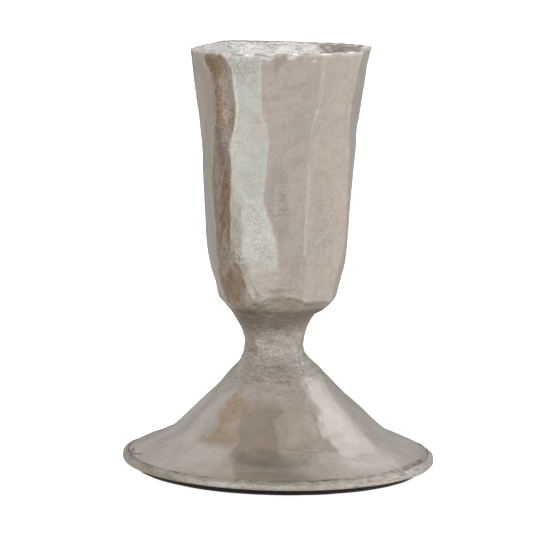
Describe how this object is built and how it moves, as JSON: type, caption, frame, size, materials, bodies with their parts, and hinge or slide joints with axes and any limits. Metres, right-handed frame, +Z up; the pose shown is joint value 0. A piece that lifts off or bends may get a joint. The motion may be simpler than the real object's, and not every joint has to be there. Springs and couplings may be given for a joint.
{
  "type": "communion chalice",
  "caption": "Tall hammered metal cup with long facets on a waisted stem and a wide conical foot with a felt pad, for holding communion wine.",
  "frame": {"origin": "centre of the felt pad's underside, on the surface that the chalice stands on", "axes": "+Z up along the chalice's axis, -Y towards the viewer's side, +X to the viewer's right"},
  "size_m": [0.132, 0.132, 0.177],
  "materials": {
    "hammered_metal": "hammered, warm grey patina",
    "felt": "black felt",
    "fastener_steel": "zinc plated",
    "disc_metal": "plain sheet"
  },
  "bodies": {
    "root": {"cup": "hammered_metal", "stem": "hammered_metal", "foot": "hammered_metal", "foot_rim": "hammered_metal", "felt_pad": "felt", "stud_boss": "fastener_steel", "tie_stud": "fastener_steel", "wide_washer": "fastener_steel", "spring_washer": "fastener_steel", "nut": "fastener_steel", "base_disc": "disc_metal"}
  },
  "joints": []
}
